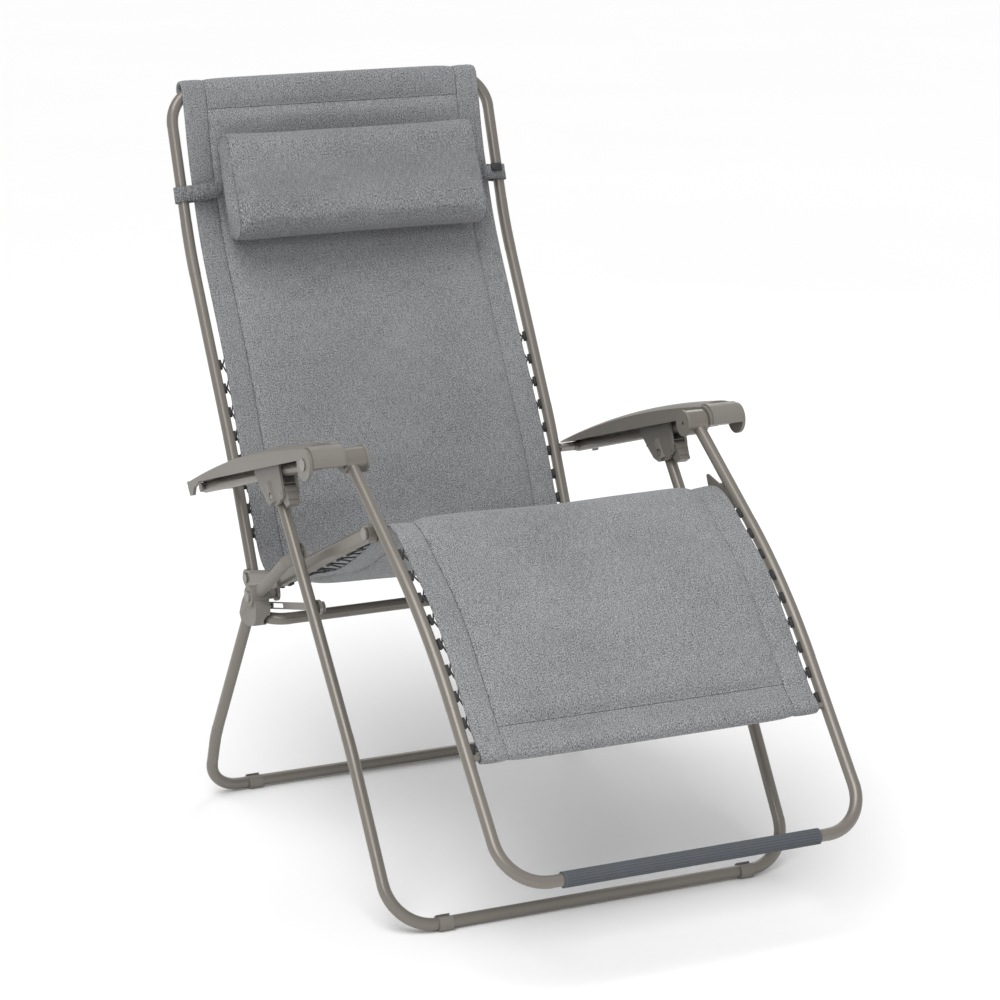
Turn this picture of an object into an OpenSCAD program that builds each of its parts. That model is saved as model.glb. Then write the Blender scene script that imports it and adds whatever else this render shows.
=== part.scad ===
// Zero gravity recliner: folding steel frame, laced and padded sling, moulded armrests.
// Millimetres. +Z up, the sitter faces -Y, +X is the sitter's left.
// Side points are [y, z] at rest, with y = 0 at the front floor bar.

/* [Tubes] */
// outside diameter of the frame tubes
tube_d = 18; // [16:0.5:22]
// wall of the frame tubes
tube_wall = 1.5; // [1:0.1:2.5]
// half width between the leg tube centres
leg_x = 330; // [300:1:360]
// half width between the back tube centres
back_x = 281; // [260:1:300]
// half width between the leg rest tube centres
rest_x = 288; // [265:1:300]

/* [Seat rails] */
// height of the flat-oval seat rail
rail_h = 25; // [20:1:30]
// thickness of the flat-oval seat rail
rail_t = 15; // [12:1:18]

/* [Armrests] */
// width of an armrest pad
pad_w = 58; // [50:1:66]
// radius of the armrest nose
nose_r = 26; // [20:1:30]

/* [Sling] */
// half width of the sling cloth
cloth_x = 262; // [240:1:268]
// half width of the padded centre panel
padded_x = 222; // [180:1:235]
// thickness of the padding
pad_t = 16; // [8:1:24]
// thickness of the hemmed edge
hem_t = 4; // [3:0.5:6]
// diameter of the elastic lacing
cord_d = 3.2; // [2:0.2:5]

/* [Hidden] */
$fn = 48;
r = tube_d / 2;
ri = r - tube_wall;
bite = 0.5;
step = 0.25;
mid_y = 339.1;

// pivots, [y, z]
G = [495, 387];
H = [627, 378];
A = [688, 516];
B = [235, 650];
K = [160, 558];
S = [396, 566];
P = [340, 493];
J = [283.6, 420];
Q = [480, 373];
slot_pin_r = 1.6;

// frame corner points, [y, z]
leg_bend = [144, 240];
rear_top = [524, 358];
rear_bend = [679, 110];
rear_bar = [713, 11];
back_low = [622, 367];
back_b1 = [708.8, 560];
back_b2 = [873.8, 860];
back_top = [956.8, 1104];
rest_bend = [-31.8, 461.3];
rest_bar = [-279, 161];
rail_bend = [487, 411];
hem_at = [-157, 310];
rail_dir = (A - B) / norm(A - B);
rail_up = [-rail_dir[1], rail_dir[0]];
rail_a = atan2(-rail_dir[1], rail_dir[0]);

taupe = [0.52, 0.49, 0.46];
cloth = [0.48, 0.48, 0.48];
dark = [0.12, 0.12, 0.12];

function unit(v) = v / norm(v);
function pt(x, p) = [x, p[0] - mid_y, p[1]];
function lerp(a, b, t) = a + (b - a) * t;

// rod between two points
module rod(a, b, rad, over = 0) {
  d = b - a;
  n = unit(d);
  yaw = atan2(n[1], n[0]);
  tilt = acos(n[2]);
  translate(a - n * over)
    rotate([0, tilt, yaw])
      cylinder(r = rad, h = norm(d) + 2 * over);
}

function rnd(v) = round(v * 100) / 100;

// hollow run of tube along +Z, let into the bends, the children carry on from its end
module run(l, into = bite) {
  translate([0, 0, -bite])
    difference() {
      cylinder(r = r, h = l + bite + into);
      translate([0, 0, -1]) cylinder(r = ri, h = l + bite + into + 2);
    }
  translate([0, 0, l]) children();
}

// bend of radius rr by a degrees towards az, the children carry on from its end
module bend(rr, a, az) {
  rotate([0, 0, az]) {
    translate([rr, 0, 0])
      rotate([90, 0, 180])
        rotate_extrude(angle = a, $fn = 96)
          translate([rr, 0])
            difference() {
              circle(r = r + step);
              circle(r = ri - step);
            }
    translate([rr, 0, 0])
      rotate([0, a, 0])
        translate([-rr, 0, 0])
          rotate([0, 0, -az])
            children();
  }
}

// signed turn at side point i, in degrees, and the length a bend takes from each run
function turn(p, i) =
  let (u = unit(p[i] - p[i - 1]), v = unit(p[i + 1] - p[i]))
  rnd(asin(v[0] * u[1] - v[1] * u[0]));
function cutback(p, rr, i) = i == 0 ? rr[0] : rr[i] * tan(abs(turn(p, i)) / 2);

module limb(p, rr, i) {
  last = i == len(p) - 1;
  l = norm(p[i] - p[i - 1]) - cutback(p, rr, i - 1) - (last ? 0 : cutback(p, rr, i));
  run(rnd(l), last ? 0 : bite)
    if (!last)
      bend(rr[i], abs(turn(p, i)), turn(p, i) > 0 ? 90 : -90)
        limb(p, rr, i + 1);
}

// U-shaped tube frame of half width x: side points from its cross bar up, bend radii to match
module u_frame(x, p, rr) {
  translate([rr[0] - x, p[0][0] - mid_y, p[0][1]])
    rotate([0, 90, 0])
      run(2 * (x - rr[0]));
  both()
    translate([rr[0] - x, p[0][0] - mid_y, p[0][1]])
      rotate([-rnd(atan2(p[1][0] - p[0][0], p[1][1] - p[0][1])), 0, 0])
        rotate([0, -90, 0])
          bend(rr[0], 90, 0)
            limb(p, rr, 1);
}

// pin along X between x0 and x1 at side point p
module xpin(x0, x1, p, rad) {
  translate([min(x0, x1), p[0] - mid_y, p[1]])
    rotate([0, 90, 0])
      cylinder(r = rad, h = abs(x1 - x0));
}

// side profile [y, z] drawn in the YZ plane and swept from x0 to x1
module slab(x0, x1) {
  translate([min(x0, x1), -mid_y, 0])
    rotate([90, 0, 90])
      linear_extrude(height = abs(x1 - x0))
        children();
}

// frame at side point p with +Y towards the armrest's rear and +Z square to its rail
module at_rail(p) {
  translate([0, p[0] - mid_y, p[1]])
    rotate([-rail_a, 0, 0])
      children();
}

module bar2(a, b, w) {
  translate(a)
    rotate(atan2(b[1] - a[1], b[0] - a[0]))
      translate([0, -w / 2])
        square([norm(b - a), w]);
}

// outline of a strip of thickness t whose middle follows the side points p
function left_of(v) = [-v[1], v[0]];
function mitre(p, i) =
  let (a = left_of(unit(p[max(i, 1)] - p[max(i, 1) - 1])),
       b = left_of(unit(p[min(i, len(p) - 2) + 1] - p[min(i, len(p) - 2)])),
       m = unit(a + b))
  m / (m * a);
function strip_edge(p, t) = concat(
  [for (i = [0 : len(p) - 1]) p[i] + mitre(p, i) * t / 2],
  [for (i = [len(p) - 1 : -1 : 0]) p[i] - mitre(p, i) * t / 2]);

// strip of cloth or padding across the chair, half width x
module band(p, t, x) {
  slab(-x, x) polygon(strip_edge(p, t));
}

module both() {
  children();
  mirror([1, 0, 0]) children();
}

// ---------- base ----------
module rear_leg_frame() {
  color(taupe) u_frame(leg_x, [rear_bar, rear_bend, rear_top], [50, 150]);
}

module clip_pair(x, p) {
  both()
    translate([-x - 11, p[0] - mid_y, p[1]])
      rotate([0, 90, 0])
        difference() {
          cylinder(r = 12.4, h = 22);
          translate([0, 0, -1]) cylinder(r = r, h = 24);
          translate([-15, -5, -1]) cube([9, 10, 24]);
          translate([11, -13, -1]) cube([3, 26, 24]);
        }
}

module rear_floor_clips() {
  color(dark) clip_pair(252, rear_bar);
}

module front_floor_clips() {
  color(dark) clip_pair(250, [0, 11]);
}

// moulded hub that ties the rear leg, the link tube and the crossbar
module hub_body() {
  difference() {
    union() {
      translate([-leg_x, 0, 0])
        rod([0, G[0] - mid_y, G[1]], [0, 527 - mid_y, 352], 13.5);
      translate([-leg_x, G[0] - mid_y, G[1]])
        rotate([0, 90, 0])
          translate([0, 0, -14.5])
            cylinder(r = 16.5, h = 27.9);
      slab(-leg_x - 12, -leg_x + 12)
        polygon([[500, 398], [478, 382], [471, 374], [473, 356], [481, 343], [508, 337], [532, 340],
                 [539, 350], [528, 372], [511, 392]]);
      xpin(-leg_x + 12, -303, G, 8);
    }
    rod(pt(-leg_x, rear_top), pt(-leg_x, rear_bend), r + 0.05, 1);
    rod(pt(-leg_x, [493, 388.4]), pt(-leg_x, P), r + 0.05, 0);
    xpin(-leg_x - 20, -300, G, 5.05);
    xpin(-leg_x - 20, -315, Q, slot_pin_r);
    rod(pt(-318, [520, 351]), pt(-318, [468, 351]), r + 0.05);
  }
}

module hub_l() {
  color(taupe) hub_body();
}

module hub_r() {
  color(taupe) mirror([1, 0, 0]) hub_body();
}

module hub_crossbar() {
  color(taupe) u_frame(318, [[472, 351], [518, 351]], [32]);
}

module link_body() {
  d = unit(P - G);
  t1 = G + d * 14;
  t2 = G + d * 142;
  difference() {
    union() {
      rod(pt(-leg_x, t1), pt(-leg_x, t2), r);
      hull() {
        rod(pt(-leg_x, G + d * 140), pt(-leg_x, G + d * 143), r + 0.6, $fn = 32);
        slab(-leg_x + 10, -leg_x + 12.4)
          translate(G + d * 164) circle(r = 11.4, $fn = 32);
      }
      slab(-leg_x + 9.6, -leg_x + 12.8) {
        translate(P) circle(r = 12);
        bar2(G + d * 160, P, 24);
      }
    }
    xpin(-leg_x, -leg_x + 20, P, 4.05);
    rod(pt(-leg_x, P - [0.6, 0.79] * 60), pt(-leg_x, P + [0.6, 0.79] * 40), 9.5);
    rod(pt(-leg_x, G + d * 10), pt(-leg_x, G + d * 138), ri);
  }
}

module link_l() {
  color(taupe) link_body();
}

module link_r() {
  color(taupe) mirror([1, 0, 0]) link_body();
}

module seat_pivot_pins() {
  color(dark) both() {
    xpin(-leg_x - 15.5, -296, G, 5);
    xpin(-leg_x - 17.5, -leg_x - 14.5, G, 8);
  }
}

module link_pivot_pins() {
  color(dark) both() {
    xpin(-leg_x - 4, -leg_x + 12.8, P, 4);
    xpin(-leg_x + 12.8, -leg_x + 13.8, P, 5);
  }
}

module stay_slot_pins() {
  color(dark) both() {
    xpin(-leg_x + 8, -312, Q, slot_pin_r);
    xpin(-312.4, -310.8, Q, 5);
  }
}

// ---------- front leg ----------
leg_tip = S + unit(S - leg_bend) * 6;

module front_leg_frame() {
  color(taupe)
    difference() {
      u_frame(leg_x, [[0, 11], leg_bend, leg_tip], [70, 500]);
      both() {
        xpin(-leg_x - 12, -leg_x + 12, S, 4.05);
        xpin(-leg_x - 5, -leg_x + 12, P, 4.05);
        xpin(-leg_x - 5, -leg_x + 12, J, 3);
      }
    }
}

module stay_eye_pins() {
  color(dark) both() {
    xpin(-leg_x - 4, -311, J, 3);
    xpin(-leg_x + 9.1, -316.4, J, 11);
    xpin(-312.2, -310.6, J, 8);
  }
}

module stay_body() {
  d = unit(Q - J);
  slab(-315.9, -312.9)
    difference() {
      union() {
        bar2(J, Q + d * 4, 10.8);
        translate(J) circle(r = 8);
        translate(Q + d * 4) circle(r = 5.4);
      }
      translate(J) circle(r = 3.05);
      bar2(Q - d * 52, Q + d * 1.2, 7);
      translate(Q + d * 1.2) circle(r = 3.5);
      translate(Q - d * 52) circle(r = 3.5);
    }
}

module stay_l() {
  color(taupe) stay_body();
}

module stay_r() {
  color(taupe) mirror([1, 0, 0]) stay_body();
}

// ---------- slider brackets and lock levers ----------
module bracket_pin_body() {
  xpin(-leg_x - 15.5, -leg_x + 15.5, S, 4);
}

module bracket_pin_l() {
  color(dark) bracket_pin_body();
}

module bracket_pin_r() {
  color(dark) mirror([1, 0, 0]) bracket_pin_body();
}

lever_at = [-35, 1];

module cheek() {
  difference() {
    union() {
      polygon([[-23, -13], [-6, -14.5], [10, -14], [24, -7], [37, 8], [49, 24], [60, 42], [60, 46],
               [-40, 46], [-43, 12], [-42, 4], [-34, -6]]);
      translate([0, 0]) circle(r = 14);
      translate(lever_at) circle(r = 8);
    }
    circle(r = 4.05);
    translate(lever_at) circle(r = 2.55);
  }
}

module bracket_body() {
  at_rail(S)
    translate([-leg_x, 0, 0]) {
      for (x = [-13.6, 9.6])
        translate([x, 0, 0])
          rotate([90, 0, 90])
            linear_extrude(height = 4)
              cheek();
      translate([-9.7, -24, 12.4]) cube([19.4, 74, 3.4]);
      translate([-9.7, -40.5, 15.8]) cube([19.4, 3, 1]);
      for (s = [-1, 1])
        difference() {
          rotate([-21, 0, 0])
            translate([s * 5, 0, -12]) {
              cylinder(r = 12.2, h = 34);
              cylinder(r = 13.6, h = 3);
            }
          translate([-13.4, -40, -40]) cube([26.8, 80, 80]);
          rotate([0, 90, 0]) cylinder(r = 6, h = 60, center = true);
        }
    }
}

module slider_bracket_l() {
  color(taupe) bracket_body();
}

module slider_bracket_r() {
  color(taupe) mirror([1, 0, 0]) bracket_body();
}

module lever_pin_body() {
  at_rail(S)
    translate([-leg_x - 14.6, lever_at[0], lever_at[1]])
      rotate([0, 90, 0]) cylinder(r = 2.5, h = 29.2);
}

module lever_pin_l() {
  color(dark) lever_pin_body();
}

module lever_pin_r() {
  color(dark) mirror([1, 0, 0]) lever_pin_body();
}

module lever_body() {
  at_rail(S)
    translate([-leg_x - 9, 0, 0])
      rotate([90, 0, 90])
        linear_extrude(height = 18)
          difference() {
            union() {
              translate(lever_at) circle(r = 12.5);
              translate([-41, -6]) circle(r = 11);
              translate([-54, -16]) rotate(-14) square([16, 6]);
            }
            translate(lever_at) circle(r = 2.55);
          }
}

module lock_lever_l() {
  color(taupe) lever_body();
}

module lock_lever_r() {
  color(taupe) mirror([1, 0, 0]) lever_body();
}

// ---------- seat ----------
module rail_bar(a, b) {
  d = unit(b - a);
  translate([-290, a[0] - mid_y, a[1]])
    rotate([atan2(d[1], d[0]), 0, 0])
      rotate([-90, 0, 0])
        linear_extrude(height = norm(b - a)) {
          square([rail_t, rail_h - rail_t], center = true);
          for (s = [-1, 1]) translate([0, s * (rail_h - rail_t) / 2]) circle(d = rail_t);
        }
}

module seat_rail_body() {
  rear = rail_bend + unit(H - rail_bend) * (norm(H - rail_bend) - 24);
  difference() {
    union() {
      rail_bar(K, rail_bend);
      rail_bar(rail_bend, rear);
      for (p = [K, rail_bend])
        xpin(-290 - rail_t / 2 + 1, -290 + rail_t / 2 - 1, p, rail_h / 2);
      slab(-294.3, -290.9) {
        bar2(rail_bend + unit(H - rail_bend) * 60, H, 24);
        translate(H) circle(r = 14);
      }
      slab(-300.8, -296) {
        translate(G) circle(r = 12);
        bar2(G, [499, 409], 24);
      }
    }
    xpin(-310, -270, K, 4.05);
    xpin(-310, -270, H, 4.05);
    xpin(-310, -294, G, 5.05);
  }
}

module seat_rail_l() {
  color(taupe) seat_rail_body();
}

module seat_rail_r() {
  color(taupe) mirror([1, 0, 0]) seat_rail_body();
}

seat_front = K;
seat_mid = [330, 462];
seat_rear = [596, 384];

module seat_panel() {
  color(cloth) {
    band([seat_front, seat_mid, seat_rear], hem_t, cloth_x);
    band([seat_front + [6, -2.6], seat_mid, seat_rear - [6, -1.8]], pad_t, padded_x);
  }
}

module seat_lacing() {
  color(dark) both()
    for (i = [0 : 11]) {
      t = (i + 0.6) / 12;
      a = t < 0.65 ? lerp(K, rail_bend, t / 0.72) : lerp(rail_bend, H, (t - 0.72) / 0.42);
      s = t < 0.42 ? lerp(seat_front, seat_mid, t / 0.42) : lerp(seat_mid, seat_rear, (t - 0.42) / 0.58);
      rod(pt(-285, a + [0, -14.6]), pt(-cloth_x + 3, s), cord_d / 2, $fn = 16);
      translate(pt(-286, a + [0, -15.6])) cube([9, 5, 3], center = true);
      translate(pt(-cloth_x + 1, s)) cube([8, 6, 6.4], center = true);
    }
}

// ---------- back ----------
module back_frame() {
  color(taupe)
    difference() {
      u_frame(back_x, [back_top, back_b2, back_b1, back_low], [58, 500, 700]);
      both() {
        xpin(-back_x - 12, -back_x + 12, H, 4);
        xpin(-back_x - 12, -back_x + 12, A, 4);
      }
    }
}

module back_pivot_pins() {
  color(dark) both() {
    xpin(-296.6, -back_x + 9.6, H, 4);
    xpin(-297, -294.9, H, 8);
  }
}

module back_tube_caps() {
  color(dark) both() {
    d = unit(back_low - back_b1);
    rod(pt(-back_x, back_low), pt(-back_x, back_low + d * 2.5), r - 0.1);
    rod(pt(-back_x, back_low - d * 5), pt(-back_x, back_low + d), ri);
  }
}

back_in = [[632, 402], [708.8, 560], [873.8, 860], [951, 1088]];

module back_panel() {
  color(cloth) {
    band(back_in, hem_t, cloth_x);
    band([[634.5, 407], [708.8, 560], [873.8, 860], [943, 1066]], pad_t, padded_x);
  }
}

module back_sleeve() {
  color(cloth)
    difference() {
      xpin(-cloth_x + 2, cloth_x - 2, back_top, r + 3);
      xpin(-cloth_x, cloth_x, back_top, r);
    }
}

// elastic loops: a ring round the tube, two runs to the hem and a clip on each
module lace(x, a, dirv, xe, e0, e1) {
  tilt = atan2(dirv[1], dirv[0]);
  s = x < 0 ? 1 : -1;
  translate(pt(x, a))
    rotate([tilt, 0, 0])
      rotate([90, 0, 0])
        rotate_extrude($fn = 32)
          translate([r + cord_d / 2 + 0.1, 0]) circle(d = cord_d, $fn = 16);
  for (e = [e0, e1]) {
    rod(pt(x + s * (r + cord_d + 0.3), a + (e - a) * 0.15), pt(xe, e), cord_d / 2 - 0.4, $fn = 16);
    translate(pt(xe + s * 1.5, e)) rotate([tilt, 0, 0]) cube([7, 5, 6.4], center = true);
  }
}

module back_lacing() {
  color(dark)
    for (s = [-1, 1], i = [0 : 10]) {
      z = 452 + i * 27;
      p = z < 560 ? lerp([626.4, 378], back_b1, (z - 378) / 182) : lerp(back_b1, back_b2, (z - 560) / 300);
      q = p + [5, 9];
      w = p - [5, 9];
      lace(s * back_x, p, unit(z < 560 ? back_b1 - back_low : back_b2 - back_b1), s * (cloth_x - 1), q, w);
    }
}

// ---------- pillow ----------
back_lean = atan2(back_top[0] - back_b2[0], back_top[1] - back_b2[1]);

// frame on the upper back line, u up it from the bend, +Z up the back and -Y off its front
module on_back(x, u) {
  translate(pt(x, back_b2 + [sin(back_lean), cos(back_lean)] * u))
    rotate([-back_lean, 0, 0])
      children();
}

module pillow() {
  color(cloth)
    on_back(-226, 0)
      rotate([90, 0, 90])
        linear_extrude(height = 452)
          hull() {
            translate([-45.5, 28]) circle(r = 36, $fn = 32);
            translate([-40, 152]) circle(r = 30, $fn = 32);
          }
}

module pillow_straps() {
  color(cloth) both() {
    on_back(-back_x, 88)
      difference() {
        cylinder(r = 13, h = 26, center = true);
        cylinder(r = 10.6, h = 30, center = true);
      }
    on_back(-back_x, 88)
      translate([4, -12.6, -12.5]) cube([back_x - 230, 1.6, 25]);
  }
}

module blank_tab() {
  color(dark)
    on_back(back_x, 88)
      translate([-29, -13.8, -11]) cube([26, 1.2, 22]);
}

// ---------- armrests ----------
arm_len = norm(A - B);
crown = 2232;

module arm_section(w, top, low, cut) {
  translate([-w / 2, low]) square([w, top - low - cut]);
  intersection() {
    translate([-w / 2, low]) square([w, top - low]);
    translate([0, top - 62]) circle(r = 62, $fn = 96);
    translate([-w / 2, top - cut - 30]) square([w, cut + 30]);
  }
}

// arched sweep of a cross-section along the armrest
module arch(w, top, low, cut) {
  translate([0, 190, -crown])
    rotate([90, 0, 90])
      rotate([0, 0, 90 - 8.5])
        rotate_extrude(angle = 14.2, $fn = 720)
          translate([crown, 0])
            rotate(-90) mirror([1, 0]) arm_section(w, top, low, cut);
}

module armrest_body() {
  w = pad_w;
  at_rail(B)
    translate([-leg_x, 0, 0])
      difference() {
        union() {
          intersection() {
            arch(w, 37, -60, 7);
            translate([-w / 2, -2, 8.5]) cube([w, 520, 60]);
            translate([0, 0, -10]) linear_extrude(height = 90) {
              translate([-w / 2, -10]) square([w, 407]);
              intersection() {
                translate([0, 396]) circle(r = 98);
                translate([-w / 2, 386]) square([w, 120]);
              }
            }
          }
          intersection() {
            union() {
              rotate([0, 90, 0]) cylinder(r = nose_r, h = w - 8, center = true);
              rotate([0, 90, 0]) cylinder(r = nose_r - 3, h = w, center = true);
            }
            translate([-w / 2 - 1, -nose_r - 1, -8]) cube([w + 2, 2 * nose_r + 2, nose_r + 10]);
          }
          translate([-w / 2 - 2.5, 0, 0]) rotate([0, 90, 0]) cylinder(r = nose_r - 2.5, h = 5);
          translate([w / 2 - 5, 0, 0]) rotate([0, 90, 0]) cylinder(r = 12, h = 5);
          translate([-w / 2, 0, 0])
            rotate([90, 0, 90])
              linear_extrude(height = 5)
                polygon([[436, 12], [488, 12], [486, 0], [481, -11], [470, -11], [462, 0], [440, 7]]);
        }
        intersection() {
          arch(w - 7, 33, -60, 6);
          translate([-w / 2 + 3.5, 27, -30]) cube([w - 7, 401, 90]);
        }
        translate([0, nose_r - 14, 0]) rotate([-90, 0, 0]) cylinder(r = r + 0.05, h = 480);
        rotate([0, 90, 0]) cylinder(r = 5.05, h = 200, center = true);
      }
}

module armrest_l() {
  color(taupe) armrest_body();
}

module armrest_r() {
  color(taupe) mirror([1, 0, 0]) armrest_body();
}

module arm_rail_body() {
  difference() {
    union() {
      rod(pt(-leg_x, B + rail_dir * (nose_r - 13)), pt(-leg_x, A + rail_dir * 12), r);
      xpin(-leg_x, -316, A, 7.5);
    }
    rod(pt(-leg_x, B + rail_dir * (nose_r - 20)), pt(-leg_x, A - rail_dir * 14), ri);
    xpin(-350, -300, A, 4.05);
  }
}

module arm_rail_l() {
  color(taupe) arm_rail_body();
}

module arm_rail_r() {
  color(taupe) mirror([1, 0, 0]) arm_rail_body();
}

module arm_bolt_body() {
  xpin(-342, -273, A, 4);
  xpin(-315.4, -290.2, A, 7);
  xpin(-343.5, -340.2, A, 7.5);
}

module arm_bolt_l() {
  color(dark) arm_bolt_body();
}

module arm_bolt_r() {
  color(dark) mirror([1, 0, 0]) arm_bolt_body();
}

module nose_axle_body() {
  xpin(-363, -268, B, 5);
  xpin(-363.4, -362.05, B, 9);
}

module nose_axle_l() {
  color(taupe) nose_axle_body();
}

module nose_axle_r() {
  color(taupe) mirror([1, 0, 0]) nose_axle_body();
}

// ---------- leg rest ----------
rest_tip = B - unit(B - rest_bend) * 12;

module leg_rest_frame() {
  color(taupe) u_frame(rest_x, [rest_bar, rest_bend, rest_tip], [68, 900]);
}

module rest_barrels() {
  color(taupe) both()
    difference() {
      xpin(-299.4, -268, B, 19);
      xpin(-305, -260, B, 6.7);
      rod(pt(-rest_x, rest_bend), pt(-rest_x, rest_tip), r, 0);
    }
}

module barrel_discs() {
  color(taupe) both()
    difference() {
      xpin(-268, -264.5, B, 20);
      xpin(-272, -266, B, 7);
      xpin(-266.5, -263, B, 3);
    }
}

module knee_plates() {
  tip = K + [22, 20];
  color(taupe) both()
    slab(-281.9, -278.9)
      difference() {
        union() {
          hull() {
            translate(K + [4, -2]) circle(r = 11);
            translate(tip) circle(r = 3);
            translate([128, 566]) circle(r = 3);
            translate([104, 547]) circle(r = 3);
          }
          translate(K) circle(r = 11);
        }
        translate(K) circle(r = 4);
      }
}

module knee_pins() {
  color(taupe) both() {
    xpin(-300.4, -276.5, K, 4);
    xpin(-301, -298, K, 9);
    xpin(-278.8, -276.5, K, 6.5);
  }
}

module hem_rod() {
  color(taupe) xpin(-rest_x + r - 2, rest_x - r + 2, hem_at, 5);
}

module foot_grip() {
  color(dark)
    difference() {
      xpin(-204, 204, rest_bar, r + 2.6);
      xpin(-210, 210, rest_bar, r);
      for (i = [0 : 17])
        translate([-200, rest_bar[0] - mid_y, rest_bar[1]])
          rotate([i * 20, 0, 0])
            translate([0, r + 2.9, 0])
              rotate([0, 90, 0]) cylinder(r = 1.1, h = 400, $fn = 16);
    }
}

rest_in = [[138, 566], [60, 532], rest_bend + [4, 6], hem_at + [5.4, 6.4]];

module leg_rest_panel() {
  color(cloth) {
    band(rest_in, hem_t, cloth_x);
    band([[132, 563], [60, 532], rest_bend + [4, 6], [-128, 348]], pad_t, padded_x);
  }
}

module leg_rest_sleeve() {
  color(cloth)
    difference() {
      xpin(-cloth_x + 2, cloth_x - 2, hem_at, 8);
      xpin(-cloth_x, cloth_x, hem_at, 5);
    }
}

module leg_rest_lacing() {
  color(dark)
    for (s = [-1, 1], i = [0 : 8]) {
      t = 0.06 + i * 0.105;
      up = 166;
      len_all = 166 + norm(rest_bend - hem_at);
      d = t * len_all;
      p = d < up ? lerp([98, 555], rest_bend, d / up) : lerp(rest_bend, hem_at, (d - up) / (len_all - up));
      v = d < up ? unit(rest_bend - [98, 555]) : unit(hem_at - rest_bend);
      off = abs(d - up) < 110 ? [1, 1] * (7 * (1 - abs(d - up) / 110)) * -0.7 : [0, 0];
      q = p + off;
      lace(s * rest_x, q, v, s * (cloth_x - 1), p + v * 9 + [3, 4], p - v * 9 + [3, 4]);
    }
}

rear_leg_frame();
rear_floor_clips();
hub_l();
hub_r();
hub_crossbar();
link_l();
link_r();
seat_pivot_pins();
link_pivot_pins();
stay_slot_pins();
front_leg_frame();
front_floor_clips();
stay_eye_pins();
stay_l();
stay_r();
bracket_pin_l();
bracket_pin_r();
slider_bracket_l();
slider_bracket_r();
lever_pin_l();
lever_pin_r();
lock_lever_l();
lock_lever_r();
seat_rail_l();
seat_rail_r();
seat_panel();
seat_lacing();
back_frame();
back_pivot_pins();
back_panel();
back_sleeve();
back_lacing();
back_tube_caps();
pillow();
pillow_straps();
blank_tab();
armrest_l();
armrest_r();
arm_rail_l();
arm_rail_r();
arm_bolt_l();
arm_bolt_r();
nose_axle_l();
nose_axle_r();
leg_rest_frame();
rest_barrels();
barrel_discs();
knee_plates();
knee_pins();
hem_rod();
foot_grip();
leg_rest_panel();
leg_rest_sleeve();
leg_rest_lacing();
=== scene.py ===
"""Zero gravity recliner: cloth, cord, pillow, finishes and stage over the fixed frame model."""

import math

import bmesh
import bpy
from bpy.props import FloatProperty, FloatVectorProperty, PointerProperty
from mathutils import Matrix, Vector, noise
from mathutils.bvhtree import BVHTree


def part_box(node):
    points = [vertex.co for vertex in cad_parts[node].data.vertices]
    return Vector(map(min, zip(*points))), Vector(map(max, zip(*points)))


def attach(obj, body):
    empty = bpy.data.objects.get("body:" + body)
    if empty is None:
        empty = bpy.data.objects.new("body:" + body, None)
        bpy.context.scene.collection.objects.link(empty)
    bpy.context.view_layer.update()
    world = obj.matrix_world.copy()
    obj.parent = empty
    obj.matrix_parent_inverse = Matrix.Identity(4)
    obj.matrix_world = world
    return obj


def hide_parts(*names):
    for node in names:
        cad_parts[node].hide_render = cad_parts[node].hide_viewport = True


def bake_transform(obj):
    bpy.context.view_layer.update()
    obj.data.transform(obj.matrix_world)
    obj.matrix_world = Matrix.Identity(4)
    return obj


bl_info = {
    "name": "Zero Gravity Recliner",
    "version": (1, 0, 0),
    "blender": (4, 5, 0),
    "location": "View3D > Sidebar > Recliner",
    "description": "Dresses a folding recliner frame in its sling, lacing, pillow and finishes",
    "category": "Object",
}

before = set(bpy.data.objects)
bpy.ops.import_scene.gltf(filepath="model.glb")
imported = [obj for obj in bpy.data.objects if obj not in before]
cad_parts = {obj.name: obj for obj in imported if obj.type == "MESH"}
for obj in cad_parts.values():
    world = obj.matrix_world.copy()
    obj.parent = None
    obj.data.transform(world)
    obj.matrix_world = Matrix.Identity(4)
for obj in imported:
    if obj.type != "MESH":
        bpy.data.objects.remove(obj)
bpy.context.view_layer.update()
TOP_BAR = sum(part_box("back_sleeve"), Vector()) / 2
HEM_ROD = sum(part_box("hem_rod"), Vector()) / 2

PAINTED = (
    "rear_leg_frame front_leg_frame hub_crossbar back_frame leg_rest_frame arm_rail_l arm_rail_r "
    "seat_rail_l seat_rail_r stay_l stay_r knee_plates hem_rod rest_barrels"
).split()
MOULDED = (
    "rear_floor_clips front_floor_clips hub_l hub_r link_l link_r slider_bracket_l slider_bracket_r "
    "lock_lever_l lock_lever_r barrel_discs"
).split()
ARMS = ["armrest_l", "armrest_r"]
METAL = (
    "seat_pivot_pins link_pivot_pins stay_slot_pins stay_eye_pins bracket_pin_l bracket_pin_r lever_pin_l "
    "lever_pin_r back_pivot_pins arm_bolt_l arm_bolt_r nose_axle_l nose_axle_r knee_pins"
).split()
RUBBER = ["back_tube_caps"]
FOAM = ["foot_grip"]

BACK_TUBE_X = 0.281
REST_TUBE_X = 0.288


def side(y, z):
    """A point of the chair's side view, given in millimetres from the front floor bar."""
    return Vector((0, y / 1000 - 0.3391, z / 1000))


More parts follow.
